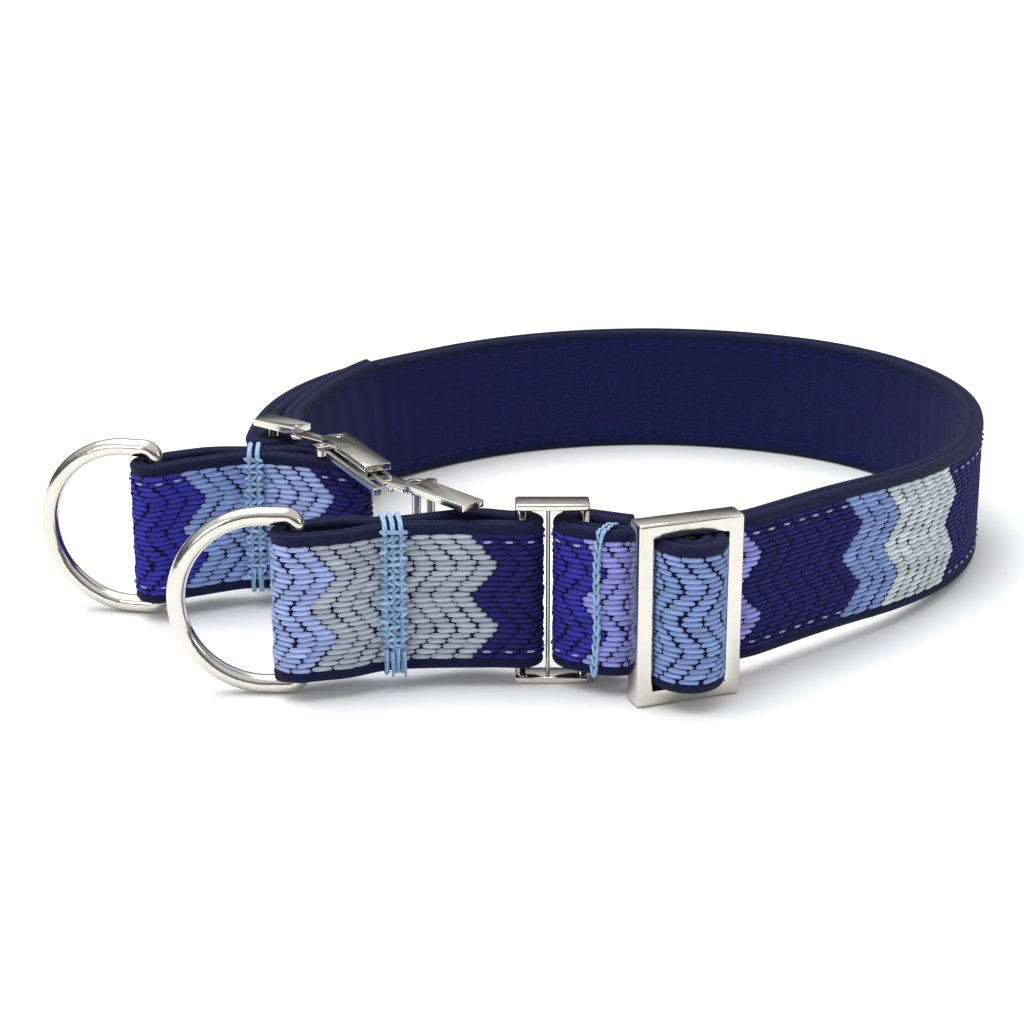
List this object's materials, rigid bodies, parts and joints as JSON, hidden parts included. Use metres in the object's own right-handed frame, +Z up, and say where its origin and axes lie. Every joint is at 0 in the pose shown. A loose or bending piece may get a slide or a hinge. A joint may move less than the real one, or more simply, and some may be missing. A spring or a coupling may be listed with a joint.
{
  "type": "martingale collar",
  "caption": "Needlepoint dog collar with ring tabs at both ends, an adjuster slide, metal connectors and a hinged link chain with a clasp.",
  "frame": {"origin": "on the table under the middle of the collar's box, as it lies standing on its edge", "axes": "+Z up along the strap's height, +Y from the hardware towards the back of the neck, +X to the adjuster's side"},
  "size_m": [0.1742, 0.1468, 0.0324],
  "materials": {
    "canvas": "satin-stitch needlepoint in zigzag bands of blue, violet and silver",
    "lining": "navy velvet",
    "binding": "rolled navy braid",
    "floss": "pale blue stranded cotton",
    "nickel": "polished nickel plate",
    "nickel_pin": "nickel pins and rivets"
  },
  "bodies": {
    "neck_strap": {"band_face": "canvas", "band_lining": "lining", "band_binding": "binding", "chain_stitch_cord": "floss"},
    "adjuster": {"slide_frame": "nickel", "slide_bar": "nickel", "bulge_face": "canvas", "bulge_lining": "lining", "bulge_binding": "binding"},
    "front_connector": {"front_connector_rails": "nickel", "front_connector_bars": "nickel", "front_connector_pin": "nickel"},
    "front_tab": {"front_tab_face": "canvas", "front_tab_lining": "lining", "front_tab_binding": "binding", "front_floss": "floss"},
    "front_ring": {"front_d_ring": "nickel"},
    "rear_connector": {"rear_connector_rails": "nickel", "rear_connector_bar": "nickel", "knuckle_pins": "nickel_pin"},
    "hinge_link": {"hinge_plates": "nickel"},
    "clasp": {"clasp_channel": "nickel", "clasp_foot": "nickel", "clasp_post": "nickel", "clasp_pins": "nickel_pin", "lever_rivet": "nickel_pin"},
    "lever": {"clasp_lever": "nickel"},
    "rear_tab": {"rear_tab_face": "canvas", "rear_tab_lining": "lining", "rear_tab_binding": "binding", "rear_floss": "floss"},
    "rear_ring": {"rear_d_ring": "nickel"},
    "tongue": {"clasp_tongue": "nickel", "tongue_stud": "nickel_pin", "tongue_foot": "nickel", "tongue_post": "nickel"},
    "front_link": {"front_link_rails": "nickel", "front_link_post": "nickel"}
  },
  "joints": [
    {"name": "front_connector_pivot", "type": "hinge", "parent": "neck_strap", "child": "front_connector", "pos_m": [0.00853, -0.05874, 0.0158], "axis": [0, 0, 1], "range_deg": [0, 10]},
    {"name": "front_tab_pivot", "type": "hinge", "parent": "front_connector", "child": "front_tab", "pos_m": [-0.00187, -0.05874, 0.0158], "axis": [0, 0, 1], "range_deg": [0, 15]},
    {"name": "front_ring_swing", "type": "hinge", "parent": "front_tab", "child": "front_ring", "pos_m": [-0.03804, -0.06434, 0.0158], "axis": [0, 0, 1], "range_deg": [-35, 35]},
    {"name": "rear_connector_pivot", "type": "hinge", "parent": "neck_strap", "child": "rear_connector", "pos_m": [-0.0465, -0.01287, 0.0158], "axis": [0, 0, 1], "range_deg": [0, 4]},
    {"name": "hinge_link_pivot", "type": "hinge", "parent": "rear_connector", "child": "hinge_link", "pos_m": [-0.04179, -0.0172, 0.0158], "axis": [0, 0, 1], "range_deg": [0, 6]},
    {"name": "clasp_pivot", "type": "hinge", "parent": "hinge_link", "child": "clasp", "pos_m": [-0.03383, -0.02377, 0.0158], "axis": [0, 0, 1], "range_deg": [0, 8]},
    {"name": "lever_open", "type": "hinge", "parent": "clasp", "child": "lever", "pos_m": [-0.03666, -0.02707, 0.0158], "axis": [0, 0, 1], "range_deg": [-18, 0]},
    {"name": "rear_tab_pivot", "type": "hinge", "parent": "clasp", "child": "rear_tab", "pos_m": [-0.03183, -0.02714, 0.0158], "axis": [0, 0, 1], "range_deg": [0, 8]},
    {"name": "rear_ring_swing", "type": "hinge", "parent": "rear_tab", "child": "rear_ring", "pos_m": [-0.06578, -0.02892, 0.0158], "axis": [0, 0, 1], "range_deg": [-30, 30]},
    {"name": "tongue_draw", "type": "slide", "parent": "clasp", "child": "tongue", "axis": [0.4431, -0.8965, 0], "range_m": [0, 0.003]},
    {"name": "front_link_pivot", "type": "hinge", "parent": "tongue", "child": "front_link", "pos_m": [-0.01927, -0.04915, 0.0158], "axis": [0, 0, 1], "range_deg": [0, 20]},
    {"name": "adjuster_slide", "type": "slide", "parent": "neck_strap", "child": "adjuster", "axis": [0.9373, 0.3486, 0], "range_m": [0, 0.006]}
  ]
}
